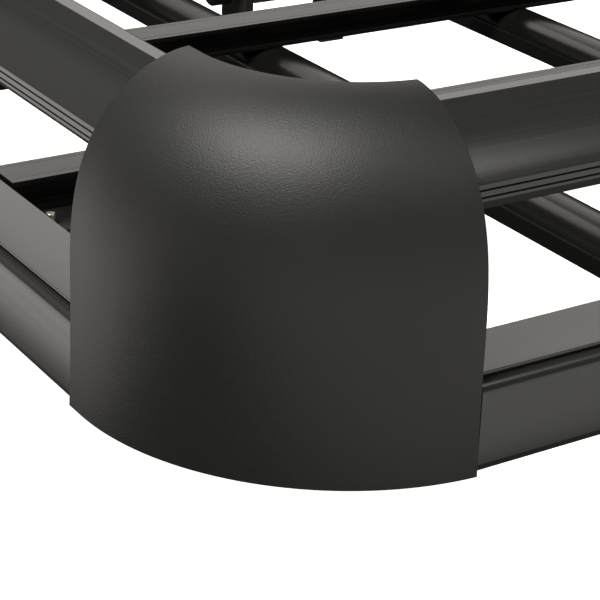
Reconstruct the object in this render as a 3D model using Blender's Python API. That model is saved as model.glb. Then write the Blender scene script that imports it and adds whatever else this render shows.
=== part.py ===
"""Roof luggage rack: a two-tier aluminium basket with moulded corners and four clamps for a vehicle's cross bars.

X runs along the vehicle and Y across it. Sections are drawn as (inward, up): inward is measured from the outer face of
the lower frame and up from its underside. The origin is below the middle of the rack, on the surface it stands on.
"""

import math

import bmesh
import bpy
from mathutils import Matrix, Vector

for old in list(bpy.data.objects):
    bpy.data.objects.remove(old, do_unlink=True)

# Overall sizes
LENGTH = 1.232
WIDTH = 0.850
FRAME_HEIGHT = 0.040
FRAME_WIDTH = 0.0335
CLAMP_DEPTH = 0.036

# Clearances
FIT = 0.0003
SLIDE_FIT = 0.0004
RAIL_TO_CAP = 0.0010

# Lower rail section
FRAME_WALL = 0.0025
LIP_SETBACK = 0.0040
LIP_THICKNESS = 0.0012
GROOVE_HEIGHT = 0.0014
GROOVE_DEPTH = 0.0016
SHOULDER_DROP = 0.0050
EDGE_RADIUS = 0.0045

# Corner cap
CAP_HEIGHT = 0.1371
CAP_WALL = 0.0026
CAP_RADIUS = 0.1120
CAP_TOP_INSET = 0.0503
CAP_SHOULDER = 0.0505
CAP_FOOT_FLARE = 0.0011
CAP_ROUND_IN = 1.16
CAP_ROUND_UP = 0.67
CAP_REACH_X = 0.1040
CAP_REACH_Y = 0.1210
CORNER_STEPS = 14
PROFILE_STEPS = 14

# Upper rail
UPPER_WALL = 0.0028
UPPER_HEIGHT = 0.0355
UPPER_FLAT = 0.0055
UPPER_CORNER = 0.0030
UPPER_CROWN_DROP = 0.0011
UPPER_FOOT_RADIUS = 0.0060
BEAD_DEPTH = 0.0009
CAP_OVER_RAIL = 0.0012

# Corner casting
WEB_THICKNESS = 0.0050
CASTING_STEPS = 7
SPIGOT_LENGTH = 0.040
SPIGOT_FIT = 0.0004
SPIGOT_SETBACK = 0.0022

# Uprights
UPRIGHTS_ALONG = 2
UPRIGHT_SPACING = 0.411
UPRIGHTS_ACROSS = 1
UPRIGHT_FOOT = 0.064
UPRIGHT_HEAD = 0.054
UPRIGHT_WAIST = 0.036
UPRIGHT_PLATE = 0.005
UPRIGHT_FLARE = 0.012
UPRIGHT_FOOT_IN = (0.006, 0.0325)
UPRIGHT_WAIST_IN = (0.013, 0.0305)
UPRIGHT_HEAD_IN = (0.0223, 0.0433)
UPRIGHT_LEAN = 0.004
UPRIGHT_CHAMFER = 0.004

# Floor bars, which run along the vehicle, with a slot in each side
BAR_COUNT = 3
BAR_PITCH = 0.158
BAR_WIDTH = 0.0226
BAR_HEIGHT = 0.0153
BAR_DROP = 0.0020
BAR_END_GAP = 0.0050
SLOT_MOUTH = 0.0106
SLOT_LIP = 0.0020
SLOT_DEPTH = 0.0085
BAR_SKIN = 0.0014

# Slats, which run across under the bars
SLAT_COUNT = 5
SLAT_PITCH = 0.173
SLAT_WIDTH = 0.032
SLAT_HEIGHT = 0.018
SLAT_WALL = 0.0016
SLAT_CROWN = 0.006
SLAT_STEPS = 8

# Cleats under the bar ends, each with a screw
CLEAT_LEG = 0.042
CLEAT_HALF_WIDTH = 0.036
CLEAT_THICKNESS = 0.0030
CLEAT_DROP = 0.0160
SCREW_RADIUS = 0.0025
SCREW_HEAD_RADIUS = 0.0046
SCREW_HEAD_HEIGHT = 0.0036
SCREW_PROUD = 0.0052
SCREW_TIP = 0.0006
SCREW_FROM_BAR = 0.0270
SCREW_FROM_RAIL = 0.0155
HOLE_STEPS = 16

# Clamps
CLAMP_TO_SLAT = 0.007
SADDLE_HALF_LENGTH = 0.035
SADDLE_SIDE = 0.0035
SADDLE_HOOK_DEPTH = 0.0055
SADDLE_HOOK_HEIGHT = 0.0070
PAD_THICKNESS = 0.0030
PAD_SEAT = 0.0005
CLAW_THICKNESS = 0.006
CLAW_TOE = 0.018
CLAW_TOE_HEIGHT = 0.0055
CLAW_TOE_TIP = 0.0044
CLAW_ROOT = 0.004
CLAW_TOP_GAP = 0.0015
BOLT_RADIUS = 0.0030
BOLT_HEIGHT = 0.0080
BOLT_LENGTH = 0.029
BOLT_FIT = 0.0004
KNOB_RADIUS = 0.0130
KNOB_LENGTH = 0.020
KNOB_LOBES = 5
KNOB_LOBE_DEPTH = 0.0022
KNOB_STEPS = 30
KNOB_COLLAR_RADIUS = 0.0066
KNOB_COLLAR = 0.003
KNOB_ROUND = 0.002

BASE = CLAMP_DEPTH
UPPER_TOP = CAP_HEIGHT - CAP_WALL - RAIL_TO_CAP - UPPER_CROWN_DROP
UPPER_BOTTOM = UPPER_TOP - UPPER_HEIGHT
BAR_TOP = FRAME_HEIGHT - BAR_DROP
BAR_BOTTOM = BAR_TOP - BAR_HEIGHT
SLAT_TOP = BAR_BOTTOM - FIT


def new_material(name, colour, roughness, metallic):
    """A plain Principled finish for one kind of piece."""
    material = bpy.data.materials.new(name)
    material.use_nodes = True
    shader = material.node_tree.nodes["Principled BSDF"]
    shader.inputs["Base Color"].default_value = (*colour, 1.0)
    shader.inputs["Roughness"].default_value = roughness
    shader.inputs["Metallic"].default_value = metallic
    return material


BLACK_RAIL = new_material("black_anodised", (0.030, 0.030, 0.029), 0.25, 0.6)
BLACK_MOULDED = new_material("black_moulded", (0.035, 0.036, 0.034), 0.65, 0.0)
BLACK_CAST = new_material("black_cast", (0.025, 0.025, 0.025), 0.5, 0.4)
ZINC = new_material("zinc_plated", (0.62, 0.60, 0.55), 0.35, 1.0)
RUBBER = new_material("rubber", (0.02, 0.02, 0.02), 0.9, 0.0)


def arc(centre, radius, start, end, steps):
    """Points on an arc, with angles in degrees from the inward direction."""
    angles = [math.radians(start + (end - start) * i / steps) for i in range(steps + 1)]
    return [(centre[0] + radius * math.cos(a), centre[1] + radius * math.sin(a)) for a in angles]


def inset(points, distance):
    """A closed anticlockwise outline moved inward by distance, with mitred corners."""
    moved = []
    for before, here, after in zip(points[-1:] + points[:-1], points, points[1:] + points[:1]):
        one = (Vector(here) - Vector(before)).normalized()
        two = (Vector(after) - Vector(here)).normalized()
        left_one, left_two = Vector((-one.y, one.x)), Vector((-two.y, two.x))
        mitre = (left_one + left_two) / max(1.0 + left_one.dot(left_two), 0.3)
        moved.append(tuple(Vector(here) + mitre * distance))
    return moved


def prism(outline, start, end, holes=()):
    """A straight length of one section along X, from start to end."""
    bm = bmesh.new()
    for loop in (outline, *holes):
        ring = [bm.verts.new((start, y, z)) for y, z in loop]
        for one, two in zip(ring, ring[1:] + ring[:1]):
            bm.edges.new((one, two))
    bmesh.ops.triangle_fill(bm, use_beauty=True, use_dissolve=False, edges=bm.edges[:])
    moved = bmesh.ops.extrude_face_region(bm, geom=bm.faces[:])
    tops = [item for item in moved["geom"] if isinstance(item, bmesh.types.BMVert)]
    bmesh.ops.translate(bm, verts=tops, vec=(end - start, 0.0, 0.0))
    bmesh.ops.recalc_face_normals(bm, faces=bm.faces[:])
    return bm


def wall(bm, one, two):
    """Faces between two rings of as many vertices."""
    for i in range(len(one)):
        j = (i + 1) % len(one)
        bm.faces.new((one[i], one[j], two[j], two[i]))


def skin(rings):
    """Joins rings of equal length into one closed body."""
    bm = bmesh.new()
    rows = [[bm.verts.new(point) for point in ring] for ring in rings]
    for lower, upper in zip(rows, rows[1:]):
        wall(bm, lower, upper)
    bm.faces.new(rows[0][::-1])
    bm.faces.new(rows[-1])
    bmesh.ops.triangulate(bm, faces=[face for face in bm.faces if len(face.verts) > 4])
    bmesh.ops.recalc_face_normals(bm, faces=bm.faces[:])
    return bm


def mesh_from(bm, name, material, sharp=35.0):
    """Turns the bmesh into a smooth-shaded mesh with sharp edges past the given angle."""
    mesh = bpy.data.meshes.new(name)
    bm.to_mesh(mesh)
    bm.free()
    mesh.materials.append(material)
    mesh.shade_smooth()
    mesh.set_sharp_from_angle(angle=math.radians(sharp))
    return mesh


def place(name, mesh, location, turn=0.0):
    """Adds a piece with its section's zero height on the underside of the lower frame."""
    piece = bpy.data.objects.new(name, mesh)
    bpy.context.scene.collection.objects.link(piece)
    piece.location = (location[0], location[1], location[2] + BASE)
    piece.rotation_euler = (0.0, 0.0, math.radians(turn))
    return piece


def mirrored(mesh, x, y, name):
    """A copy of the mesh, mirrored where x or y is -1, with its faces still pointing out."""
    bm = bmesh.new()
    bm.from_mesh(mesh)
    bmesh.ops.transform(bm, matrix=Matrix.Diagonal((x, y, 1.0, 1.0)), verts=bm.verts[:])
    if x * y < 0:
        bmesh.ops.reverse_faces(bm, faces=bm.faces[:])
    return mesh_from(bm, name, mesh.materials[0])


def combined(base, others, operation, name):
    """The base mesh after a Boolean with each of the others, as a new mesh."""
    body = bpy.data.objects.new(name + "_base", base)
    bpy.context.scene.collection.objects.link(body)
    helpers = [body]
    for i, other in enumerate(others):
        helper = bpy.data.objects.new(f"{name}_tool_{i}", other)
        bpy.context.scene.collection.objects.link(helper)
        helpers.append(helper)
        step = body.modifiers.new(f"step_{i}", "BOOLEAN")
        step.operation = operation
        step.solver = "EXACT"
        step.object = helper
    bpy.context.view_layer.update()
    graph = bpy.context.evaluated_depsgraph_get()
    result = bpy.data.meshes.new_from_object(body.evaluated_get(graph))
    for helper in helpers:
        bpy.data.objects.remove(helper, do_unlink=True)
    bm = bmesh.new()
    bm.from_mesh(result)
    bmesh.ops.remove_doubles(bm, verts=bm.verts[:], dist=1e-6)
    bmesh.ops.triangulate(bm, faces=bm.faces[:])
    return mesh_from(bm, name, base.materials[0])


# The four sides: name, middle of the side, turn, half length and how far the corner cap reaches along it
SIDES = {
    "right": ((0.0, -WIDTH / 2), 0.0, LENGTH / 2, CAP_REACH_X),
    "front": ((LENGTH / 2, 0.0), 90.0, WIDTH / 2, CAP_REACH_Y),
    "left": ((0.0, WIDTH / 2), 180.0, LENGTH / 2, CAP_REACH_X),
    "rear": ((-LENGTH / 2, 0.0), 270.0, WIDTH / 2, CAP_REACH_Y),
}
CORNERS = {
    "rear_right": (1, 1),
    "front_right": (-1, 1),
    "front_left": (-1, -1),
    "rear_left": (1, -1),
}


def lower_section():
    """Flat top with a thin lip, a groove under it, a round shoulder and a flat outer face, anticlockwise."""
    top = FRAME_HEIGHT
    groove_top = top - LIP_THICKNESS
    groove_bottom = groove_top - GROOVE_HEIGHT
    groove_back = LIP_SETBACK + GROOVE_DEPTH
    shoulder = [
        (LIP_SETBACK * (1.0 - math.sin(a)), groove_bottom - SHOULDER_DROP * (1.0 - math.cos(a)))
        for a in (math.radians(18 * i) for i in range(6))
    ]
    foot = arc((EDGE_RADIUS, EDGE_RADIUS), EDGE_RADIUS, 180, 270, 4)
    return [
        *foot,
        (FRAME_WIDTH, 0.0),
        (FRAME_WIDTH, top),
        (LIP_SETBACK, top),
        (LIP_SETBACK, groove_top),
        (groove_back, groove_top),
        (groove_back, groove_bottom),
        *shoulder,
    ]


def lower_cavity(clearance=0.0, setback=0.0):
    """The room inside the lower rail, less a clearance and an outer setback for the spigot that fills it."""
    low = FRAME_WALL + clearance
    outer = low + setback
    high = FRAME_HEIGHT - LIP_THICKNESS - GROOVE_HEIGHT - FRAME_WALL - clearance
    inner = FRAME_WIDTH - FRAME_WALL - clearance
    slope = SHOULDER_DROP + clearance / 2
    return [(outer, low), (inner, low), (inner, high), (outer + slope, high), (outer, high - slope)]


def cap_profile(steps=PROFILE_STEPS):
    """The cap's outer line from its foot to its upper edge."""
    wall = [
        (-CAP_FOOT_FLARE * (1.0 - i / 4) ** 2, CAP_SHOULDER * i / 4)
        for i in range(4)
    ]
    curve = []
    for i in range(steps + 1):
        angle = math.pi / 2 * (i / steps) ** 1.35
        curve.append((
            CAP_TOP_INSET * (1.0 - max(math.cos(angle), 0.0) ** CAP_ROUND_IN),
            CAP_SHOULDER + (CAP_HEIGHT - CAP_SHOULDER) * math.sin(angle) ** CAP_ROUND_UP,
        ))
    return wall + curve


def beside_cap(distance, steps=PROFILE_STEPS):
    """The cap's outer line moved inward by distance, with its ends kept level with the cap's own."""
    line = cap_profile(steps)
    moved = []
    for i, here in enumerate(line):
        before, after = line[max(i - 1, 0)], line[min(i + 1, len(line) - 1)]
        along = (Vector(after) - Vector(before)).normalized()
        moved.append((here[0] + along.y * distance, here[1] - along.x * distance))
    return moved


def upper_outer_face(distance):
    """The part of the line beside the cap that the upper rail's outer face follows, from top to bottom."""
    low = UPPER_BOTTOM + UPPER_FOOT_RADIUS
    line = [point for point in beside_cap(distance, 20) if point[1] > low]
    line = [point for point in line if point[0] < CAP_TOP_INSET - UPPER_CORNER - UPPER_FLAT]
    return line[::-1]


def upper_section(rounded=True):
    """The upper rail: outer face beside the cap, a narrow flat top and a flat underside, anticlockwise."""
    face = upper_outer_face(CAP_WALL + RAIL_TO_CAP)
    back = CAP_TOP_INSET - UPPER_CORNER
    edge = (face[0][0] + UPPER_CORNER, UPPER_TOP)
    foot_centre = (face[-1][0] + UPPER_FOOT_RADIUS * 1.5, UPPER_BOTTOM + UPPER_FOOT_RADIUS)
    foot = arc(foot_centre, UPPER_FOOT_RADIUS, 215, 270, 3)
    low_back = arc((back - UPPER_CORNER, UPPER_BOTTOM + UPPER_CORNER), UPPER_CORNER, 270, 360, 3)
    high_back = arc((back - UPPER_CORNER, UPPER_TOP - UPPER_CORNER), UPPER_CORNER, 0, 90, 3)
    if not rounded:
        low_back, high_back = [(back, UPPER_BOTTOM)], [(back, UPPER_TOP)]
    return [*foot, *low_back, *high_back, edge, *face]


def beaded(outline):
    """The upper rail's outline with two fine grooves cut beside its lower outer edge."""
    start, end = Vector(outline[-1]), Vector(outline[0])
    along = (end - start).normalized()
    deep = Vector((-along.y, along.x)) * BEAD_DEPTH
    reach = (end - start).length
    extra = []
    for low, high in ((0.10, 0.24), (0.72, 0.92)):
        one, two = start + along * reach * low, start + along * reach * high
        extra += [tuple(one), tuple(one + deep), tuple(two + deep), tuple(two)]
    return outline + extra


def bar_section():
    """A floor bar with a lipped slot in each side, centred on its own middle."""
    half, skin_height = BAR_WIDTH / 2, BAR_SKIN
    mouth_low = BAR_BOTTOM + (BAR_HEIGHT - SLOT_MOUTH) / 2
    mouth_high = mouth_low + SLOT_MOUTH
    low, high = BAR_BOTTOM + skin_height, BAR_TOP - skin_height
    lip, web = half - SLOT_LIP, half - SLOT_DEPTH
    right = [
        (half, BAR_BOTTOM), (half, mouth_low), (lip, mouth_low), (lip, low), (web, low),
        (web, high), (lip, high), (lip, mouth_high), (half, mouth_high), (half, BAR_TOP),
    ]
    return right + [(-y, z) for y, z in reversed(right)]


def slat_section():
    """A slat with a crowned top, and the room inside it."""
    half, low = SLAT_WIDTH / 2, SLAT_TOP - SLAT_HEIGHT
    rise = SLAT_HEIGHT - SLAT_CROWN
    crown = [
        (half * math.cos(math.pi * i / SLAT_STEPS), low + rise + SLAT_CROWN * math.sin(math.pi * i / SLAT_STEPS))
        for i in range(SLAT_STEPS + 1)
    ]
    outline = [(-half, low), (half, low), *crown]
    return outline, inset(outline, SLAT_WALL)


def corner_point(inward, up, angle, reach_x):
    """A point of a section carried round the corner: 0 degrees at the Y side, the X side at reach_x."""
    radius = CAP_RADIUS - inward
    last = math.acos(max(-1.0, min(1.0, (CAP_RADIUS - reach_x) / radius)))
    turn = last * angle
    return (CAP_RADIUS - radius * math.cos(turn), CAP_RADIUS - radius * math.sin(turn), up)


def corner_rings(section, reach_x, reach_y, steps):
    """The section at the end of the Y side, at each step round the corner, and at the end of the X side."""
    rings = [[(inward, reach_y, up) for inward, up in section]]
    for i in range(steps + 1):
        rings.append([corner_point(inward, up, i / steps, reach_x) for inward, up in section])
    return rings


def make_rails():
    """Four lower and four upper rails, which stop at the corners."""
    for side, (middle, turn, half, reach) in SIDES.items():
        lower_end = half - reach - FIT
        lower = prism(lower_section(), -lower_end, lower_end, [lower_cavity()])
        place(f"lower_rail_{side}", mesh_from(lower, f"lower_rail_{side}", BLACK_RAIL), (*middle, 0.0), turn)
        upper_end = half - reach + CAP_OVER_RAIL
        cavity = inset(upper_section(rounded=False), UPPER_WALL)
        upper = prism(beaded(upper_section()), -upper_end, upper_end, [cavity])
        place(f"upper_rail_{side}", mesh_from(upper, f"upper_rail_{side}", BLACK_RAIL), (*middle, 0.0), turn)


def cap_mesh():
    """The moulded corner cap: a shell with the profile carried round the corner."""
    outer, inner = cap_profile(), beside_cap(CAP_WALL)
    inner[0] = (inner[0][0], 0.0)
    inner[-1] = (outer[-1][0], outer[-1][1] - CAP_WALL)
    section = inner + outer[::-1]
    shell = skin(corner_rings(section, CAP_REACH_X, CAP_REACH_Y, CORNER_STEPS))
    return mesh_from(shell, "corner_cap", BLACK_MOULDED, 50.0)


def casting_section():
    """The casting inside a cap: a lower block, a web beside the cap and an upper head, anticlockwise."""
    line = [point for point in beside_cap(CAP_WALL + FIT, 20) if point[1] < UPPER_TOP]
    outer = [(line[0][0], FIT), *line[2:-1:3], line[-1]]
    web = [(y + WEB_THICKNESS, z) for y, z in outer if FRAME_HEIGHT < z < UPPER_BOTTOM]
    inner, back = FRAME_WIDTH - FIT, CAP_TOP_INSET - UPPER_CORNER
    return [
        outer[0], (inner, FIT), (inner, FRAME_HEIGHT - FIT), (web[0][0], FRAME_HEIGHT - FIT), *web,
        (web[-1][0], UPPER_BOTTOM), (back, UPPER_BOTTOM), (back, UPPER_TOP), *outer[:0:-1],
    ]


def casting_mesh():
    """The corner casting: its section carried round the corner, with a spigot into each of the four rails."""
    end_x, end_y = CAP_REACH_X - CAP_OVER_RAIL - 2 * FIT, CAP_REACH_Y - CAP_OVER_RAIL - 2 * FIT
    bm = bmesh.new()
    rings = corner_rings(casting_section(), end_x, end_y, CASTING_STEPS)
    rows = [[bm.verts.new(point) for point in ring] for ring in rings]
    for one, two in zip(rows, rows[1:]):
        wall(bm, one, two)
    spigots = (
        lower_cavity(SPIGOT_FIT, SPIGOT_SETBACK),
        inset(upper_section(rounded=False), UPPER_WALL + SPIGOT_FIT),
    )
    for row, end, across in ((rows[0], end_y, True), (rows[-1], end_x, False)):
        loops = [row]
        for outline in spigots:
            root, tip = [
                [bm.verts.new((y, along, z) if across else (along, y, z)) for y, z in outline]
                for along in (end, end + SPIGOT_LENGTH)
            ]
            wall(bm, root, tip)
            bm.faces.new(tip)
            loops.append(root)
        edges = [bm.edges.get(pair) for loop in loops for pair in zip(loop, loop[1:] + loop[:1])]
        bmesh.ops.triangle_fill(bm, use_beauty=True, use_dissolve=False, edges=edges)
    bmesh.ops.triangulate(bm, faces=[face for face in bm.faces if len(face.verts) > 4])
    bmesh.ops.recalc_face_normals(bm, faces=bm.faces[:])
    return mesh_from(bm, "corner_casting", BLACK_CAST)


def make_corners():
    """A cap and a casting at each corner, mirrored from the rear right one."""
    cap, casting = cap_mesh(), casting_mesh()
    for corner, (x, y) in CORNERS.items():
        at = (-x * LENGTH / 2, -y * WIDTH / 2, 0.0)
        place(f"corner_cap_{corner}", mirrored(cap, x, y, f"corner_cap_{corner}"), at)
        place(f"corner_casting_{corner}", mirrored(casting, x, y, f"corner_casting_{corner}"), at)


def upright_mesh():
    """A waisted post between the lower rail's top and the upper rail's underside."""
    low, high = FRAME_HEIGHT + FIT, UPPER_BOTTOM - FIT
    leaning = tuple(value + UPRIGHT_LEAN for value in UPRIGHT_WAIST_IN)
    levels = [
        (low, UPRIGHT_FOOT, UPRIGHT_FOOT_IN),
        (low + UPRIGHT_PLATE, UPRIGHT_FOOT, UPRIGHT_FOOT_IN),
        (low + UPRIGHT_FLARE, UPRIGHT_WAIST, UPRIGHT_WAIST_IN),
        (high - UPRIGHT_FLARE, UPRIGHT_WAIST, leaning),
        (high - UPRIGHT_PLATE, UPRIGHT_HEAD, UPRIGHT_HEAD_IN),
        (high, UPRIGHT_HEAD, UPRIGHT_HEAD_IN),
    ]
    cut = UPRIGHT_CHAMFER
    rings = []
    for z, length, (near, far) in levels:
        half = length / 2
        rings.append([
            (-half + cut, near, z), (half - cut, near, z), (half, near + cut, z), (half, far - cut, z),
            (half - cut, far, z), (-half + cut, far, z), (-half, far - cut, z), (-half, near + cut, z),
        ])
    return mesh_from(skin(rings), "upright", BLACK_MOULDED)


def make_uprights():
    """Posts along each side, spaced about its middle."""
    mesh = upright_mesh()
    for side, (middle, turn, _, _) in SIDES.items():
        count = UPRIGHTS_ALONG if side in ("right", "left") else UPRIGHTS_ACROSS
        for i in range(count):
            along = (i - (count - 1) / 2) * UPRIGHT_SPACING
            step = Matrix.Rotation(math.radians(turn), 2) @ Vector((along, 0.0))
            place(f"upright_{side}_{i + 1}", mesh, (middle[0] + step.x, middle[1] + step.y, 0.0), turn)


def bar_places():
    """Where the floor bars lie across the rack."""
    return [(i - (BAR_COUNT - 1) / 2) * BAR_PITCH for i in range(BAR_COUNT)]


def make_floor():
    """Slotted bars along the rack, on crowned slats that run across it."""
    bar_end = LENGTH / 2 - FRAME_WIDTH - BAR_END_GAP
    bar = mesh_from(prism(bar_section(), -bar_end, bar_end), "floor_bar", BLACK_RAIL)
    for i, y in enumerate(bar_places()):
        place(f"floor_bar_{i + 1}", bar, (0.0, y, 0.0))
    slat_end = WIDTH / 2 - FRAME_WIDTH - FIT
    outline, cavity = slat_section()
    slat = mesh_from(prism(outline, -slat_end, slat_end, [cavity]), "slat", BLACK_RAIL)
    for i in range(SLAT_COUNT):
        x = (i - (SLAT_COUNT - 1) / 2) * SLAT_PITCH
        place(f"slat_{i + 1}", slat, (x, 0.0, 0.0), 90.0)


def drilled(body, radius, depth, matrix, name):
    """The body with a round hole of the given radius and depth, centred on the matrix and along its Z."""
    bm = bmesh.new()
    bmesh.ops.create_cone(
        bm, cap_ends=True, segments=HOLE_STEPS, radius1=radius, radius2=radius, depth=depth, matrix=matrix,
    )
    return combined(body, [mesh_from(bm, name + "_hole", body.materials[0])], "DIFFERENCE", name)


def cleat_mesh():
    """An angle against the end rail, with its flat leg under the bar and a hole for the screw."""
    top = BAR_BOTTOM - FIT
    near = FRAME_WIDTH + FIT
    outline = [
        (near, top - CLEAT_DROP), (near + CLEAT_THICKNESS, top - CLEAT_DROP),
        (near + CLEAT_THICKNESS, top - CLEAT_THICKNESS), (near + CLEAT_LEG, top - CLEAT_THICKNESS),
        (near + CLEAT_LEG, top), (near, top),
    ]
    body = mesh_from(prism(outline, -CLEAT_HALF_WIDTH, CLEAT_HALF_WIDTH), "bar_cleat", BLACK_CAST)
    through = Matrix.Translation((SCREW_FROM_BAR, FRAME_WIDTH + SCREW_FROM_RAIL, top))
    return drilled(body, SCREW_RADIUS + FIT, CLEAT_DROP, through, "bar_cleat")


def turned(profile, steps, name, material, lobes=0, depth=0.0, lobed=()):
    """A body turned about X from (along, radius) pairs; the rings listed in lobed get finger hollows."""
    rings = []
    for k, (along, radius) in enumerate(profile):
        ring = []
        for i in range(steps):
            angle = 2.0 * math.pi * i / steps
            dip = depth * (0.5 - 0.5 * math.cos(lobes * angle)) if k in lobed else 0.0
            ring.append((along, (radius - dip) * math.cos(angle), (radius - dip) * math.sin(angle)))
        rings.append(ring)
    return mesh_from(skin(rings), name, material)


def make_cleats():
    """A cleat and a plated screw at both ends of each floor bar."""
    cleat = cleat_mesh()
    top = BAR_BOTTOM - FIT
    head_low = top - CLEAT_THICKNESS - FIT - SCREW_HEAD_HEIGHT
    lift = [
        (head_low, SCREW_HEAD_RADIUS), (head_low + SCREW_HEAD_HEIGHT, SCREW_HEAD_RADIUS),
        (head_low + SCREW_HEAD_HEIGHT, SCREW_RADIUS), (top + SCREW_PROUD - SCREW_TIP, SCREW_RADIUS),
        (top + SCREW_PROUD, SCREW_RADIUS - SCREW_TIP),
    ]
    bm = bmesh.new()
    bm.from_mesh(turned(lift, 12, "cleat_screw", ZINC))
    bmesh.ops.rotate(bm, cent=(0, 0, 0), matrix=Matrix.Rotation(math.radians(-90), 3, "Y"), verts=bm.verts[:])
    screw = mesh_from(bm, "cleat_screw", ZINC)
    for end, turn, side in (("rear", 270.0, -1), ("front", 90.0, 1)):
        for i, y in enumerate(bar_places()):
            place(f"bar_cleat_{end}_{i + 1}", cleat, (side * LENGTH / 2, y, 0.0), turn)
            screw_x = side * (LENGTH / 2 - FRAME_WIDTH - SCREW_FROM_RAIL)
            place(f"cleat_screw_{end}_{i + 1}", screw, (screw_x, y + side * SCREW_FROM_BAR, 0.0))


def along_y(outline, start, end):
    """A section drawn as (along X, up), extruded across from start to end."""
    bm = prism(outline, start, end)
    swap = Matrix(((0, 1, 0, 0), (1, 0, 0, 0), (0, 0, 1, 0), (0, 0, 0, 1)))
    bmesh.ops.transform(bm, matrix=swap, verts=bm.verts[:])
    bmesh.ops.reverse_faces(bm, faces=bm.faces[:])
    return bm


def bolt_line():
    """The clamp bolt's axis, at the saddle's open end."""
    return Matrix.Translation((SADDLE_HALF_LENGTH, 0.0, BOLT_HEIGHT)) @ Matrix.Rotation(math.radians(90), 4, "Y")


def saddle_mesh():
    """The clamp's saddle: it hooks into both slots of a bar and ends in a fixed claw at its -X end."""
    inner = BAR_WIDTH / 2 + SLIDE_FIT
    outer = inner + SADDLE_SIDE
    floor = BAR_BOTTOM - SLIDE_FIT
    mouth_low = BAR_BOTTOM + (BAR_HEIGHT - SLOT_MOUTH) / 2
    hook_low = mouth_low + SLIDE_FIT
    hook_high = hook_low + SADDLE_HOOK_HEIGHT
    tip = BAR_WIDTH / 2 - SADDLE_HOOK_DEPTH
    right = [
        (inner, floor), (inner, hook_low), (tip, hook_low), (tip, hook_high), (outer, hook_high),
    ]
    half_outline = right + [(outer, PAD_SEAT)]
    outline = [(y, z) for y, z in reversed(half_outline)] + [(-y, z) for y, z in half_outline]
    body = mesh_from(prism(outline, -SADDLE_HALF_LENGTH, SADDLE_HALF_LENGTH), "clamp_saddle", BLACK_CAST)
    back = -SADDLE_HALF_LENGTH
    claw = [
        (back, floor - CLAW_ROOT), (back, -CLAMP_DEPTH), (back + CLAW_TOE, -CLAMP_DEPTH),
        (back + CLAW_TOE, -CLAMP_DEPTH + CLAW_TOE_TIP),
        (back + CLAW_THICKNESS, -CLAMP_DEPTH + CLAW_TOE_HEIGHT), (back + CLAW_THICKNESS, floor - CLAW_ROOT),
    ]
    claw_body = mesh_from(along_y(claw, -outer, outer), "fixed_claw", BLACK_CAST)
    joined = combined(body, [claw_body], "UNION", "saddle_with_claw")
    return drilled(joined, BOLT_RADIUS + BOLT_FIT, BOLT_LENGTH * 2, bolt_line(), "clamp_saddle")


def moving_claw_mesh():
    """The claw that the bolt draws towards the saddle, with a hole for the bolt."""
    outer = BAR_WIDTH / 2 + SLIDE_FIT + SADDLE_SIDE
    near = SADDLE_HALF_LENGTH + FIT
    far = near + CLAW_THICKNESS
    top = BAR_BOTTOM - CLAW_TOP_GAP
    outline = [
        (far, -CLAMP_DEPTH), (far, top), (near, top), (near, -CLAMP_DEPTH + CLAW_TOE_HEIGHT),
        (far - CLAW_TOE, -CLAMP_DEPTH + CLAW_TOE_TIP), (far - CLAW_TOE, -CLAMP_DEPTH),
    ]
    body = mesh_from(along_y(outline, -outer, outer), "clamp_claw", BLACK_CAST)
    return drilled(body, BOLT_RADIUS + BOLT_FIT, CLAW_TOE * 2, bolt_line(), "clamp_claw")


def knob_mesh():
    """A lobed knob moulded on its bolt, turned about X, with its face against the claw."""
    face = SADDLE_HALF_LENGTH + FIT + CLAW_THICKNESS + FIT
    collar = face + KNOB_COLLAR
    end = face + KNOB_LENGTH
    profile = [
        (face - BOLT_LENGTH, BOLT_RADIUS - BOLT_FIT), (face - BOLT_LENGTH + BOLT_FIT, BOLT_RADIUS),
        (face, BOLT_RADIUS), (face, KNOB_COLLAR_RADIUS), (collar, KNOB_COLLAR_RADIUS),
        (collar, KNOB_RADIUS - KNOB_ROUND), (collar + KNOB_ROUND, KNOB_RADIUS), (end - KNOB_ROUND, KNOB_RADIUS),
        (end, KNOB_RADIUS - KNOB_ROUND),
    ]
    return turned(profile, KNOB_STEPS, "clamp_knob", BLACK_MOULDED, KNOB_LOBES, KNOB_LOBE_DEPTH, (5, 6, 7, 8))


def make_clamps():
    """Four clamps on the outer floor bars, each free to slide between two slats."""
    outer = BAR_WIDTH / 2 + SLIDE_FIT + SADDLE_SIDE
    reach = SADDLE_HALF_LENGTH - CLAW_THICKNESS
    pad_box = [
        (-reach + FIT, -PAD_THICKNESS + PAD_SEAT - FIT), (SADDLE_HALF_LENGTH, -PAD_THICKNESS + PAD_SEAT - FIT),
        (SADDLE_HALF_LENGTH, PAD_SEAT - FIT), (-reach + FIT, PAD_SEAT - FIT),
    ]
    pieces = {
        "saddle": saddle_mesh(),
        "pad": mesh_from(along_y(pad_box, -outer, outer), "clamp_pad", RUBBER),
        "claw": moving_claw_mesh(),
    }
    knob = knob_mesh()
    places = bar_places()
    from_middle = SLAT_PITCH + SLAT_WIDTH / 2 + CLAMP_TO_SLAT + SADDLE_HALF_LENGTH
    for corner, (x, y) in CORNERS.items():
        at = (-x * from_middle, places[0] if y > 0 else places[-1], 0.0)
        turn = 180.0 if x > 0 else 0.0
        for piece, mesh in pieces.items():
            place(f"clamp_{piece}_{corner}", mesh, at, turn)
        knob_piece = place(f"clamp_knob_{corner}", knob, at, turn)
        knob_piece.location.z += BOLT_HEIGHT


make_rails()
make_corners()
make_uprights()
make_floor()
make_cleats()
make_clamps()
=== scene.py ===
import math

import bpy
from mathutils import Euler, Matrix, Vector


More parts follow.
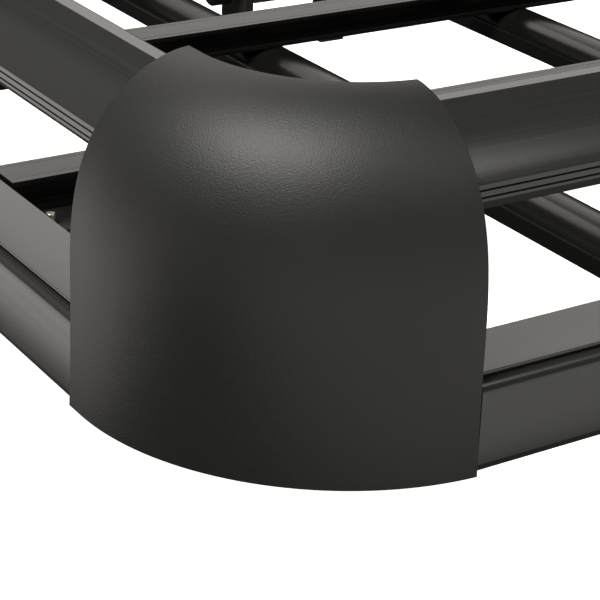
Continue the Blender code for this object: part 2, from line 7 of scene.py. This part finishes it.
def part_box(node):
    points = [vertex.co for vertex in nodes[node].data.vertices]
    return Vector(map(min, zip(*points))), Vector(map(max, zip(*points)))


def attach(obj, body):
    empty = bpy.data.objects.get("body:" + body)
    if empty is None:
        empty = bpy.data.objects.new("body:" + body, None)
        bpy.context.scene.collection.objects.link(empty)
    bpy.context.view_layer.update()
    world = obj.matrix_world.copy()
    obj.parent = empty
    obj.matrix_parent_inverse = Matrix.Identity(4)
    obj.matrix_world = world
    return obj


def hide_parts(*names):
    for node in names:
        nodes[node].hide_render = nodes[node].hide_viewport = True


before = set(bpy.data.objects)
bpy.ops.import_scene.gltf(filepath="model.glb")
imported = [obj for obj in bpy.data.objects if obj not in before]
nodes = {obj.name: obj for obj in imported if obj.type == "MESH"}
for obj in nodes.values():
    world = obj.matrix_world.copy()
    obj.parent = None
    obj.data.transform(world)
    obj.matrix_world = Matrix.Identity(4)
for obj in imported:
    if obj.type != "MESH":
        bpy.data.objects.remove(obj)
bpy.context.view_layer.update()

# ---- Viewing and light -------------------------------------------------------------------------------------------
# A studio table top: a white floor and backdrop, a bright wall behind the rack, soft boxes above it, and glowing
# boards that lie on the floor at its left and in front of it and throw light up at its sides.
bpy.context.scene.view_settings.view_transform = "Standard"

view_yaw, view_pitch, view_roll = 0.5758, 0.4272, 0.0364
bpy.ops.object.camera_add(location=(-0.9224, -0.9349, 0.4006))
camera = bpy.context.object
camera.data.sensor_width = 36.0
camera.data.lens = 122.05
camera.data.clip_start = 0.01
turned = Euler((math.pi / 2 - view_pitch, 0.0, -view_yaw)).to_matrix() @ Matrix.Rotation(view_roll, 3, "Z")
camera.rotation_euler = turned.to_euler()
bpy.context.scene.camera = camera

world = bpy.data.worlds.new("studio")
bpy.context.scene.world = world
world.use_nodes = True
world.node_tree.nodes["Background"].inputs["Color"].default_value = (1.0, 1.0, 1.0, 1.0)
world.node_tree.nodes["Background"].inputs["Strength"].default_value = 0.07


def soft_box(name, place, aim, width, height, power, tone=(1.0, 0.975, 0.93)):
    """A rectangular light at a place, turned to aim at a point, and out of the camera's sight."""
    bpy.ops.object.light_add(type="AREA", location=place)
    light = bpy.context.object
    light.name = name
    light.data.shape = "RECTANGLE"
    light.data.size, light.data.size_y, light.data.energy = width, height, power
    light.rotation_euler = (Vector(aim) - Vector(place)).to_track_quat("-Z", "Y").to_euler()
    light.data.color = tone
    light.visible_camera = False


def floor_board(name, x, y, width, length, power, *tone):
    """A light that lies on the floor and shines up."""
    soft_box(name, (x, y, 0.002), (x, y, 1.0), width, length, power, *tone)


warm = (1.0, 0.95, 0.91)
soft_box("wall_light", (1.5, 2.6, 1.5), (-0.4, -0.2, 0.1), 4.2, 1.6, 25.0, warm)
soft_box("crest_light", (0.1, 1.9, 2.0), (-0.55, -0.4, 0.15), 1.0, 0.7, 7.0, warm)
soft_box("back_light", (-2.4, 2.4, 1.4), (-0.6, -0.2, 0.1), 2.5, 1.6, 2.9, warm)
soft_box("cap_light", (-1.75, -0.50, 2.5), (-0.55, -0.38, 0.1), 1.3, 1.1, 104.0)
soft_box("face_light", (0.26, -1.72, 1.73), (-0.4, -0.4, 0.15), 1.2, 0.9, 9.5)
floor_board("left_board", -1.26, 0.79, 1.2, 2.1, 11.0, warm)
floor_board("corner_board", -1.3, -1.05, 1.1, 1.2, 2.4)
floor_board("front_board", 0.35, -1.44, 2.5, 1.92, 13.5)

white = bpy.data.materials.new("white_paper")
white.use_nodes = True
paper = white.node_tree.nodes["Principled BSDF"]
paper.inputs["Base Color"].default_value = (0.80, 0.80, 0.80, 1.0)
paper.inputs["Roughness"].default_value = 0.9
paper.inputs["Emission Color"].default_value = (1.0, 1.0, 1.0, 1.0)
paper.inputs["Emission Strength"].default_value = 1.0
bpy.ops.mesh.primitive_plane_add(size=120.0, location=(0.0, 0.0, 0.0))
bpy.context.object.name = "studio_floor"
bpy.ops.mesh.primitive_cylinder_add(
    vertices=96, radius=58.0, depth=110.0, end_fill_type="NOTHING", location=(0.0, 0.0, 0.0),
)
bpy.context.object.name = "studio_backdrop"
for name in ("studio_floor", "studio_backdrop"):
    stage = bpy.data.objects[name]
    stage.visible_glossy = stage.visible_diffuse = stage.visible_shadow = False
    stage.data.materials.append(white)

# ---- Lower rails -------------------------------------------------------------------------------------------------
# Four aluminium extrusions, black anodised, 40 mm high: a flat lip on top, a fine groove under it, a round shoulder
# and a flat outer face. Each is cut square and its ends slip over the spigots of the corner castings.
frame_height, frame_width = 0.040, 0.0335
lip_setback, lip_thickness = 0.0040, 0.0012
groove_height, groove_depth = 0.0014, 0.0016
foot_radius, shoulder_height = 0.0045, 0.005
low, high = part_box("lower_rail_right")
base = low.z
half_width = -low.y
half_length = -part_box("lower_rail_rear")[0].x


def flat_face(points, name):
    """A flat face with the given corners, ready for edit mode."""
    bpy.ops.object.select_all(action="DESELECT")
    bpy.ops.mesh.primitive_circle_add(vertices=len(points), radius=0.02, fill_type="NGON")
    piece = bpy.context.object
    piece.name = name
    for vertex, point in zip(piece.data.vertices, points):
        vertex.co = point
    return piece


def extruded(points, along, name):
    """The face drawn by the points, extruded by the vector along."""
    piece = flat_face(points, name)
    bpy.ops.object.mode_set(mode="EDIT")
    bpy.ops.mesh.select_all(action="SELECT")
    bpy.ops.mesh.extrude_region_move(TRANSFORM_OT_translate={"value": along})
    bpy.ops.mesh.select_all(action="SELECT")
    bpy.ops.mesh.normals_make_consistent(inside=False)
    bpy.ops.object.mode_set(mode="OBJECT")
    return piece


def eased(piece, width, segments=2, angle=32.0):
    """Rounds the sharp edges and shades the piece smooth, with its flat faces kept flat."""
    bpy.context.view_layer.objects.active = piece
    bpy.ops.object.select_all(action="DESELECT")
    piece.select_set(True)
    bevel = piece.modifiers.new("eased_edges", "BEVEL")
    bevel.width, bevel.segments, bevel.limit_method = width, segments, "ANGLE"
    bevel.angle_limit = math.radians(angle)
    bpy.ops.object.modifier_apply(modifier=bevel.name)
    bpy.ops.object.shade_smooth_by_angle(angle=math.radians(40.0))
    weigh = piece.modifiers.new("flat_faces", "WEIGHTED_NORMAL")
    weigh.keep_sharp = True
    bpy.ops.object.modifier_apply(modifier=weigh.name)
    return piece


def anodised(name, along, dark=0.018, index=1.58):
    """Black anodised aluminium with fine die lines along the extrusion: along is X, Y or Z as 0, 1 or 2."""
    finish = bpy.data.materials.new(name)
    finish.use_nodes = True
    tree = finish.node_tree
    shader = tree.nodes["Principled BSDF"]
    shader.inputs["Metallic"].default_value = 0.0
    shader.inputs["IOR"].default_value = index
    place = tree.nodes.new("ShaderNodeTexCoord")
    stretch = tree.nodes.new("ShaderNodeMapping")
    scale = [900.0, 900.0, 900.0]
    scale[along] = 4.0
    stretch.inputs["Scale"].default_value = scale
    tree.links.new(place.outputs["Object"], stretch.inputs["Vector"])
    lines = tree.nodes.new("ShaderNodeTexNoise")
    lines.inputs["Scale"].default_value = 1.0
    lines.inputs["Detail"].default_value = 3.0
    lines.inputs["Roughness"].default_value = 0.6
    tree.links.new(stretch.outputs["Vector"], lines.inputs["Vector"])
    rough = tree.nodes.new("ShaderNodeMapRange")
    rough.inputs["To Min"].default_value = 0.16
    rough.inputs["To Max"].default_value = 0.30
    tree.links.new(lines.outputs["Fac"], rough.inputs["Value"])
    tree.links.new(rough.outputs["Result"], shader.inputs["Roughness"])
    tint = tree.nodes.new("ShaderNodeValToRGB")
    tint.color_ramp.elements[0].color = (dark * 0.8, dark * 0.82, dark * 0.78, 1.0)
    tint.color_ramp.elements[1].color = (dark * 1.35, dark * 1.38, dark * 1.28, 1.0)
    tree.links.new(lines.outputs["Fac"], tint.inputs["Fac"])
    tree.links.new(tint.outputs["Color"], shader.inputs["Base Color"])
    relief = tree.nodes.new("ShaderNodeBump")
    relief.inputs["Strength"].default_value = 0.10
    relief.inputs["Distance"].default_value = 0.00004
    tree.links.new(lines.outputs["Fac"], relief.inputs["Height"])
    tree.links.new(relief.outputs["Normal"], shader.inputs["Normal"])
    return finish


rail_along_x, rail_along_y = anodised("black_anodised_long", 0), anodised("black_anodised_cross", 1)


def turned_to_side(section, side):
    """Section points (inward, up) as corners of a face that stands across one of the four sides' rails."""
    inward_of = {
        "right": lambda p: (0.0, -half_width + p[0]), "left": lambda p: (0.0, half_width - p[0]),
        "rear": lambda p: (-half_length + p[0], 0.0), "front": lambda p: (half_length - p[0], 0.0),
    }[side]
    return [Vector((*inward_of(point), base + point[1])) for point in section]


def rail_on(side, section, reach, name):
    """A rail of the given section on one side, reach metres to each side of its middle."""
    long_side = side in ("right", "left")
    step = Vector((1.0, 0.0, 0.0)) if long_side else Vector((0.0, 1.0, 0.0))
    points = [point - step * reach for point in turned_to_side(section, side)]
    piece = extruded(points, tuple(step * 2 * reach), name)
    piece.data.materials.append(rail_along_x if long_side else rail_along_y)
    return piece


def arc(centre, radius_in, radius_up, start, end, steps):
    """Points on part of an ellipse, from the start angle to the end angle in degrees."""
    turns = [math.radians(start + (end - start) * i / steps) for i in range(steps + 1)]
    return [(centre[0] + radius_in * math.cos(a), centre[1] + radius_up * math.sin(a)) for a in turns]


groove_low = frame_height - lip_thickness - groove_height
lower_section = [
    *arc((foot_radius, foot_radius), foot_radius, foot_radius, 180.0, 270.0, 6),
    (frame_width, 0.0), (frame_width, frame_height), (lip_setback, frame_height),
    (lip_setback, frame_height - lip_thickness), (lip_setback + groove_depth, frame_height - lip_thickness),
    (lip_setback + groove_depth, groove_low),
    *arc((lip_setback, groove_low - shoulder_height), lip_setback, shoulder_height, 90.0, 180.0, 8),
]
for side in ("right", "front", "left", "rear"):
    low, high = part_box("lower_rail_" + side)
    reach = high.x if side in ("right", "left") else high.y
    rail = rail_on(side, lower_section, reach, "lower_rail_skin_" + side)
    eased(rail, 0.0003)
    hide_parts("lower_rail_" + side)
    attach(rail, "rack")

# ---- Corner caps -------------------------------------------------------------------------------------------------
# Shells moulded in black plastic with a fine leather grain. Each wraps the ends of four rails; its wall is upright
# at the foot and rolls in towards the top, where it ends in a thin edge. The mould leaves the rim slightly rounded.
corners = {"rear_right": (1, 1), "front_right": (-1, 1), "front_left": (-1, -1), "rear_left": (1, -1)}
cap_wall, cap_radius, cap_height = 0.0026, 0.1120, 0.1371
cap_top_inset, cap_shoulder, cap_flare = 0.0503, 0.0505, 0.0011
cap_round_in, cap_round_up = 1.16, 0.67
cap_reach_x, cap_reach_y = 0.1040, 0.1210
foot_steps, roll_spacing = 8, 1.35


def cap_line(steps):
    """The cap's outer line from foot to top edge, as (inward, up)."""
    wall = [(-cap_flare * (1.0 - i / foot_steps) ** 2, cap_shoulder * i / foot_steps) for i in range(foot_steps)]
    for i in range(steps + 1):
        angle = math.pi / 2 * (i / steps) ** roll_spacing
        wall.append((
            cap_top_inset * (1.0 - max(math.cos(angle), 0.0) ** cap_round_in),
            cap_shoulder + (cap_height - cap_shoulder) * math.sin(angle) ** cap_round_up,
        ))
    return wall


def beside(line, distance):
    """The line moved inward by distance."""
    moved = []
    for i, here in enumerate(line):
        before, after = Vector(line[max(i - 1, 0)]), Vector(line[min(i + 1, len(line) - 1)])
        along = (after - before).normalized()
        moved.append((here[0] + along.y * distance, here[1] - along.x * distance))
    return moved


outer_line = cap_line(36)
inner_line = beside(outer_line, cap_wall)
inner_line[0] = (inner_line[0][0], 0.0)
inner_line[-1] = (outer_line[-1][0], outer_line[-1][1] - cap_wall)
cap_section = inner_line + outer_line[::-1]
corner_at = Vector((-half_length, -half_width, base))
cap = flat_face([corner_at + Vector((p[0], cap_reach_y, p[1])) for p in cap_section], "cap_skin_rear_right")
bpy.ops.object.mode_set(mode="EDIT")
bpy.ops.mesh.select_all(action="SELECT")
bpy.ops.mesh.extrude_region_move(TRANSFORM_OT_translate={"value": (0.0, cap_radius - cap_reach_y, 0.0)})
bpy.ops.mesh.spin(
    steps=40, angle=math.radians(-90.0), center=corner_at + Vector((cap_radius, cap_radius, 0.0)), axis=(0.0, 0.0, 1.0),
)
bpy.ops.mesh.select_all(action="SELECT")
bpy.ops.mesh.remove_doubles(threshold=0.00001)
bpy.ops.mesh.select_all(action="SELECT")
bpy.ops.mesh.bisect(
    plane_co=corner_at + Vector((cap_reach_x, 0.0, 0.0)), plane_no=(1.0, 0.0, 0.0), use_fill=True, clear_outer=True,
)
bpy.ops.mesh.select_all(action="SELECT")
bpy.ops.mesh.normals_make_consistent(inside=False)
bpy.ops.object.mode_set(mode="OBJECT")
eased(cap, 0.0006, 3, 50.0)

leather = bpy.data.materials.new("black_leather_grain")
leather.use_nodes = True
tree = leather.node_tree
shader = tree.nodes["Principled BSDF"]
shader.inputs["IOR"].default_value = 1.5
place = tree.nodes.new("ShaderNodeTexCoord")
cells = tree.nodes.new("ShaderNodeTexVoronoi")
cells.feature = "SMOOTH_F1"
cells.inputs["Scale"].default_value = 2100.0
cells.inputs["Randomness"].default_value = 1.0
wander = tree.nodes.new("ShaderNodeTexNoise")
wander.inputs["Scale"].default_value = 1700.0
wander.inputs["Detail"].default_value = 4.0
patches = tree.nodes.new("ShaderNodeTexNoise")
patches.inputs["Scale"].default_value = 9.0
patches.inputs["Detail"].default_value = 5.0
for texture in (cells, wander, patches):
    tree.links.new(place.outputs["Object"], texture.inputs["Vector"])
pebbles = tree.nodes.new("ShaderNodeMath")
pebbles.operation = "MULTIPLY_ADD"
pebbles.inputs[1].default_value = 0.7
tree.links.new(cells.outputs["Distance"], pebbles.inputs[0])
tree.links.new(wander.outputs["Fac"], pebbles.inputs[2])
relief = tree.nodes.new("ShaderNodeBump")
relief.inputs["Strength"].default_value = 0.7
relief.inputs["Distance"].default_value = 0.00014
tree.links.new(pebbles.outputs[0], relief.inputs["Height"])
tree.links.new(relief.outputs["Normal"], shader.inputs["Normal"])
rough = tree.nodes.new("ShaderNodeMapRange")
rough.inputs["From Min"].default_value = 0.3
rough.inputs["From Max"].default_value = 0.7
rough.inputs["To Min"].default_value = 0.45
rough.inputs["To Max"].default_value = 0.54
tree.links.new(patches.outputs["Fac"], rough.inputs["Value"])
tree.links.new(rough.outputs["Result"], shader.inputs["Roughness"])
tint = tree.nodes.new("ShaderNodeValToRGB")
tint.color_ramp.elements[0].position, tint.color_ramp.elements[1].position = 0.35, 0.65
tint.color_ramp.elements[0].color = (0.0070, 0.0073, 0.0066, 1.0)
tint.color_ramp.elements[1].color = (0.0100, 0.0104, 0.0094, 1.0)
tree.links.new(patches.outputs["Fac"], tint.inputs["Fac"])
tree.links.new(tint.outputs["Color"], shader.inputs["Base Color"])
cap.data.materials.append(leather)


def mirrored_copy(piece, x, y, name):
    """A copy of a piece on the rear right corner, mirrored to another corner, with its faces pointing out."""
    bpy.ops.object.select_all(action="DESELECT")
    piece.select_set(True)
    bpy.context.view_layer.objects.active = piece
    bpy.ops.object.duplicate(linked=False)
    copy = bpy.context.object
    copy.name = name
    copy.scale = (x, y, 1.0)
    bpy.ops.object.transform_apply(location=True, rotation=True, scale=True)
    if x * y < 0:
        bpy.ops.object.mode_set(mode="EDIT")
        bpy.ops.mesh.select_all(action="SELECT")
        bpy.ops.mesh.normals_make_consistent(inside=False)
        bpy.ops.object.mode_set(mode="OBJECT")
    return copy


for corner, (x, y) in corners.items():
    skin = cap if corner == "rear_right" else mirrored_copy(cap, x, y, "cap_skin_" + corner)
    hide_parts("corner_cap_" + corner)
    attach(skin, "rack")

# ---- Corner castings ---------------------------------------------------------------------------------------------
# Aluminium castings painted matt black, out of sight behind the caps except from inside the basket. The paint is
# slightly uneven over the sand-cast skin.
cast = bpy.data.materials.new("black_cast_paint")
cast.use_nodes = True
tree = cast.node_tree
shader = tree.nodes["Principled BSDF"]
shader.inputs["IOR"].default_value = 1.5
place = tree.nodes.new("ShaderNodeTexCoord")
sand = tree.nodes.new("ShaderNodeTexNoise")
sand.inputs["Scale"].default_value = 420.0
sand.inputs["Detail"].default_value = 4.0
tree.links.new(place.outputs["Object"], sand.inputs["Vector"])
rough = tree.nodes.new("ShaderNodeMapRange")
rough.inputs["To Min"].default_value = 0.42
rough.inputs["To Max"].default_value = 0.66
tree.links.new(sand.outputs["Fac"], rough.inputs["Value"])
tree.links.new(rough.outputs["Result"], shader.inputs["Roughness"])
relief = tree.nodes.new("ShaderNodeBump")
relief.inputs["Strength"].default_value = 0.3
relief.inputs["Distance"].default_value = 0.0002
tree.links.new(sand.outputs["Fac"], relief.inputs["Height"])
tree.links.new(relief.outputs["Normal"], shader.inputs["Normal"])
tint = tree.nodes.new("ShaderNodeValToRGB")
tint.color_ramp.elements[0].color = (0.011, 0.011, 0.011, 1.0)
tint.color_ramp.elements[1].color = (0.022, 0.022, 0.021, 1.0)
tree.links.new(sand.outputs["Fac"], tint.inputs["Fac"])
tree.links.new(tint.outputs["Color"], shader.inputs["Base Color"])
for corner in corners:
    nodes["corner_casting_" + corner].data.materials.clear()
    nodes["corner_casting_" + corner].data.materials.append(cast)

# ---- Upper rails -------------------------------------------------------------------------------------------------
# Four black anodised extrusions. The outer face follows the roll of the corner caps a little inside them, with two
# fine grooves near its foot; the top is narrow and flat, the foot is chamfered, and the ends tuck under the caps.
upper_height, upper_corner, upper_flat = 0.0355, 0.0030, 0.0055
cap_gap, top_gap = 0.0010, 0.0011
upper_top = cap_height - cap_wall - cap_gap - top_gap
upper_bottom = upper_top - upper_height
face_foot, crest_drop = 0.0100, 0.0030
upper_groove_in, upper_groove_edges = 0.0009, ((0.0098, 0.0092), (0.0070, 0.0064))
upper_foot = ((0.0, 0.0051), (0.0031, 0.0020), (0.0048, 0.0))
back = cap_top_inset - upper_corner
face = [
    point for point in beside(cap_line(48), cap_wall + cap_gap)
    if upper_bottom + face_foot < point[1] < upper_top - crest_drop
][::-1]
front = face[-1][0]
upper_grooves = []
for above, below in upper_groove_edges:
    upper_grooves += [
        (front, upper_bottom + above), (front + upper_groove_in, upper_bottom + above),
        (front + upper_groove_in, upper_bottom + below), (front, upper_bottom + below),
    ]
upper_section = [
    *((front + inward, upper_bottom + up) for inward, up in upper_foot),
    *arc((back - upper_corner, upper_bottom + upper_corner), upper_corner, upper_corner, 270.0, 360.0, 7),
    *arc((back - upper_corner, upper_top - upper_corner), upper_corner, upper_corner, 0.0, 90.0, 7),
    (back - upper_corner - upper_flat, upper_top), *face, *upper_grooves,
]
for side in ("right", "front", "left", "rear"):
    low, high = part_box("upper_rail_" + side)
    reach = high.x if side in ("right", "left") else high.y
    rail = rail_on(side, upper_section, reach, "upper_rail_skin_" + side)
    eased(rail, 0.00025, 2, 20.0)
    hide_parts("upper_rail_" + side)
    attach(rail, "rack")

# ---- Uprights ----------------------------------------------------------------------------------------------------
# Waisted posts moulded in the caps' black plastic, screwed between the lower and upper rails. The mould rounds their
# edges.


def eased_copy(node_name, width, segments=2, angle=32.0):
    """A piece with the node's shape, its doubles merged, its flat faces whole and its sharp edges rounded."""
    bpy.ops.object.select_all(action="DESELECT")
    node = nodes[node_name]
    node.hide_set(False)
    node.select_set(True)
    bpy.context.view_layer.objects.active = node
    bpy.ops.object.duplicate(linked=False)
    piece = bpy.context.object
    piece.name = node_name + "_skin"
    piece.data.materials.clear()
    bpy.ops.object.mode_set(mode="EDIT")
    bpy.ops.mesh.select_all(action="SELECT")
    bpy.ops.mesh.remove_doubles(threshold=0.00001)
    bpy.ops.mesh.select_all(action="SELECT")
    bpy.ops.mesh.dissolve_limited(angle_limit=math.radians(1.0))
    bpy.ops.object.mode_set(mode="OBJECT")
    eased(piece, width, segments, angle)
    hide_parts(node_name)
    return piece


for name in [name for name in nodes if name.startswith("upright_")]:
    post = eased_copy(name, 0.0014, 4, 15.0)
    post.data.materials.append(leather)
    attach(post, "rack")

# ---- Floor bars --------------------------------------------------------------------------------------------------
# Three black anodised extrusions along the rack with a lipped slot in each side for clamps and lashing rings, and a
# fine line along each edge of the top. They are cut square and lie on the slats.
# Painted shade: the bars and slats are the rails' black anodising with a darker base colour (0.007 and 0.005 against
# 0.018) and a lower IOR, standing in for the shade inside the basket.
bar_anodised_with_painted_shade = anodised("bar_black_anodised_painted_shade", 0, 0.007, 1.37)
slat_anodised_with_painted_shade = anodised("slat_black_anodised_painted_shade", 1, 0.005, 1.30)
bar_width, bar_height, slot_mouth = 0.0226, 0.0153, 0.0106
slot_lip, slot_depth, bar_skin = 0.0020, 0.0085, 0.0014
bar_top_line = ((0.0035, 0.0), (0.0038, 0.00012), (0.0042, 0.00012), (0.0045, 0.0))
for i in (1, 2, 3):
    low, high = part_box(f"floor_bar_{i}")
    middle, bottom, top = (low.y + high.y) / 2, low.z, high.z
    half, mouth_low = bar_width / 2, bottom + (bar_height - slot_mouth) / 2
    mouth_high, lip, web = mouth_low + slot_mouth, half - slot_lip, half - slot_depth
    one_side = [
        (half, bottom), (half, mouth_low), (lip, mouth_low), (lip, bottom + bar_skin), (web, bottom + bar_skin),
        (web, top - bar_skin), (lip, top - bar_skin), (lip, mouth_high), (half, mouth_high), (half, top),
        *((half - inward, top - down) for inward, down in bar_top_line),
    ]
    section = one_side + [(-y, z) for y, z in reversed(one_side)]
    points = [Vector((low.x, middle + y, z)) for y, z in section]
    bar = extruded(points, (high.x - low.x, 0.0, 0.0), f"floor_bar_skin_{i}")
    bar.data.materials.append(bar_anodised_with_painted_shade)
    eased(bar, 0.00022)
    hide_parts(f"floor_bar_{i}")
    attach(bar, "rack")

# ---- Slats -------------------------------------------------------------------------------------------------------
# Five hollow extrusions with a crowned top that run across under the bars, between the side rails.
slat_crown, slat_steps = 0.0110, 32
for i in range(1, 6):
    low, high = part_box(f"slat_{i}")
    middle, half = (low.x + high.x) / 2, (high.x - low.x) / 2
    crown = arc((0.0, high.z - slat_crown), half, slat_crown, 0.0, 180.0, slat_steps)
    section = [(-half, low.z), (half, low.z), *crown]
    points = [Vector((middle + x, low.y, z)) for x, z in section]
    slat = extruded(points, (0.0, high.y - low.y, 0.0), f"slat_skin_{i}")
    # The slats' black carries painted shade: a darker base colour than the rails' anodising.
    slat.data.materials.append(slat_anodised_with_painted_shade)
    eased(slat, 0.0004)
    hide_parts(f"slat_{i}")
    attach(slat, "rack")

# ---- Cleats and their screws -------------------------------------------------------------------------------------
# A steel angle under each bar end, painted black, held by a zinc-plated screw whose end stands beside the bar.
zinc = bpy.data.materials.new("zinc_plating")
zinc.use_nodes = True
tree = zinc.node_tree
shader = tree.nodes["Principled BSDF"]
shader.inputs["Metallic"].default_value = 1.0
place = tree.nodes.new("ShaderNodeTexCoord")
spangle = tree.nodes.new("ShaderNodeTexNoise")
spangle.inputs["Scale"].default_value = 900.0
spangle.inputs["Detail"].default_value = 3.0
tree.links.new(place.outputs["Object"], spangle.inputs["Vector"])
tint = tree.nodes.new("ShaderNodeValToRGB")
tint.color_ramp.elements[0].color = (0.46, 0.44, 0.38, 1.0)
tint.color_ramp.elements[1].color = (0.68, 0.66, 0.58, 1.0)
tree.links.new(spangle.outputs["Fac"], tint.inputs["Fac"])
tree.links.new(tint.outputs["Color"], shader.inputs["Base Color"])
rough = tree.nodes.new("ShaderNodeMapRange")
rough.inputs["To Min"].default_value = 0.24
rough.inputs["To Max"].default_value = 0.44
tree.links.new(spangle.outputs["Fac"], rough.inputs["Value"])
tree.links.new(rough.outputs["Result"], shader.inputs["Roughness"])
for end in ("rear", "front"):
    for i in (1, 2, 3):
        cleat = eased_copy(f"bar_cleat_{end}_{i}", 0.0004)
        cleat.data.materials.append(cast)
        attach(cleat, "rack")
        screw = eased_copy(f"cleat_screw_{end}_{i}", 0.0002, 2, 50.0)
        screw.data.materials.append(zinc)
        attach(screw, "rack")

# ---- Clamps ------------------------------------------------------------------------------------------------------
# Four clamps, two on each outer bar. A cast saddle hooks into the bar's slots and rests on a rubber pad, and a cast
# claw is drawn in by a bolt with a lobed plastic knob.
rubber = bpy.data.materials.new("black_rubber")
rubber.use_nodes = True
tree = rubber.node_tree
shader = tree.nodes["Principled BSDF"]
shader.inputs["IOR"].default_value = 1.52
place = tree.nodes.new("ShaderNodeTexCoord")
bloom = tree.nodes.new("ShaderNodeTexNoise")
bloom.inputs["Scale"].default_value = 120.0
bloom.inputs["Detail"].default_value = 5.0
tree.links.new(place.outputs["Object"], bloom.inputs["Vector"])
tint = tree.nodes.new("ShaderNodeValToRGB")
tint.color_ramp.elements[0].color = (0.010, 0.010, 0.010, 1.0)
tint.color_ramp.elements[1].color = (0.024, 0.024, 0.023, 1.0)
tree.links.new(bloom.outputs["Fac"], tint.inputs["Fac"])
tree.links.new(tint.outputs["Color"], shader.inputs["Base Color"])
rough = tree.nodes.new("ShaderNodeMapRange")
rough.inputs["To Min"].default_value = 0.70
rough.inputs["To Max"].default_value = 0.92
tree.links.new(bloom.outputs["Fac"], rough.inputs["Value"])
tree.links.new(rough.outputs["Result"], shader.inputs["Roughness"])
for corner in corners:
    for part, width, finish, slot, body in (
        ("saddle", 0.0006, cast, "black_cast", "clamp_"), ("pad", 0.0004, rubber, "rubber", "clamp_"),
        ("claw", 0.0006, cast, "black_cast", "claw_"), ("knob", 0.0005, leather, "black_moulded", "knob_"),
    ):
        piece = eased_copy(f"clamp_{part}_{corner}", width)
        piece.data.materials.append(finish)
        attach(piece, body + corner)
